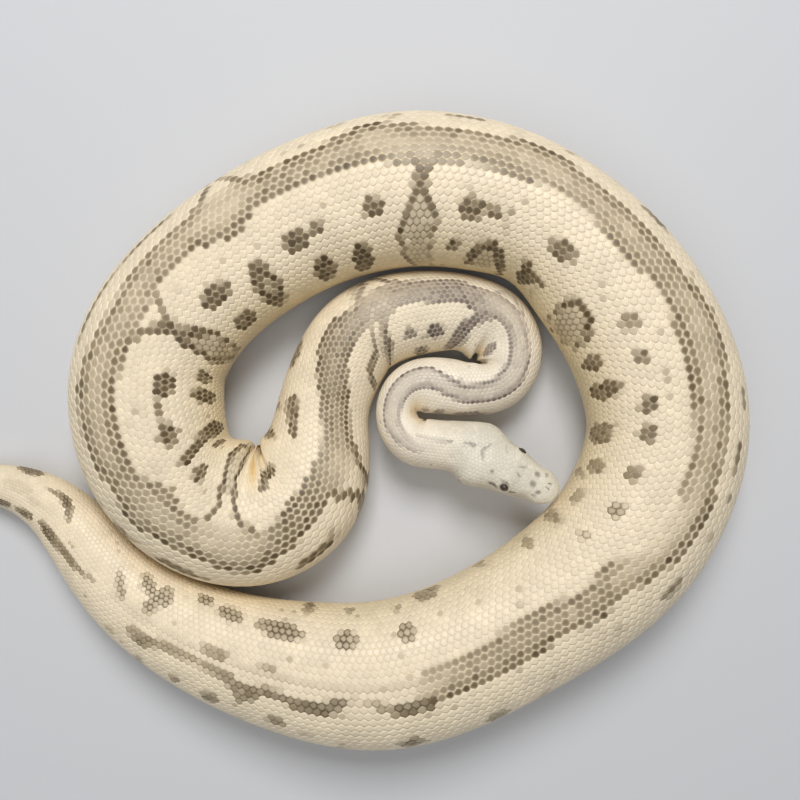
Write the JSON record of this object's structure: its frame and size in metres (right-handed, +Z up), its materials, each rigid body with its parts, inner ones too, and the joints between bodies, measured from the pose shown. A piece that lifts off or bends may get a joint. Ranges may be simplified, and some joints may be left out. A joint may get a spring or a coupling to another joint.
{
  "type": "coiled ball python model",
  "caption": "Still life-size model of a ball python lying in a loose open coil, its neck folded inside and its tail stretched out to one side.",
  "frame": {"origin": "on the floor, under the middle of the snake's outline seen from above", "axes": "+Z up, +X away from the tail's tip, +Y towards the side of the coil that lies across from the tail's root"},
  "size_m": [0.3985, 0.2937, 0.059],
  "materials": {
    "scaled_skin": "satin",
    "eye": "glossy",
    "spur_horn": "satin"
  },
  "bodies": {
    "root": {"head": "scaled_skin", "lower_jaw": "scaled_skin", "eye_left": "eye", "eye_right": "eye", "neck_front": "scaled_skin", "neck_rear": "scaled_skin", "trunk_1": "scaled_skin", "trunk_2": "scaled_skin", "trunk_3": "scaled_skin", "trunk_4": "scaled_skin", "trunk_5": "scaled_skin", "trunk_6": "scaled_skin", "trunk_7": "scaled_skin", "trunk_8": "scaled_skin", "tail": "scaled_skin", "spur_left": "spur_horn", "spur_right": "spur_horn"}
  },
  "joints": []
}
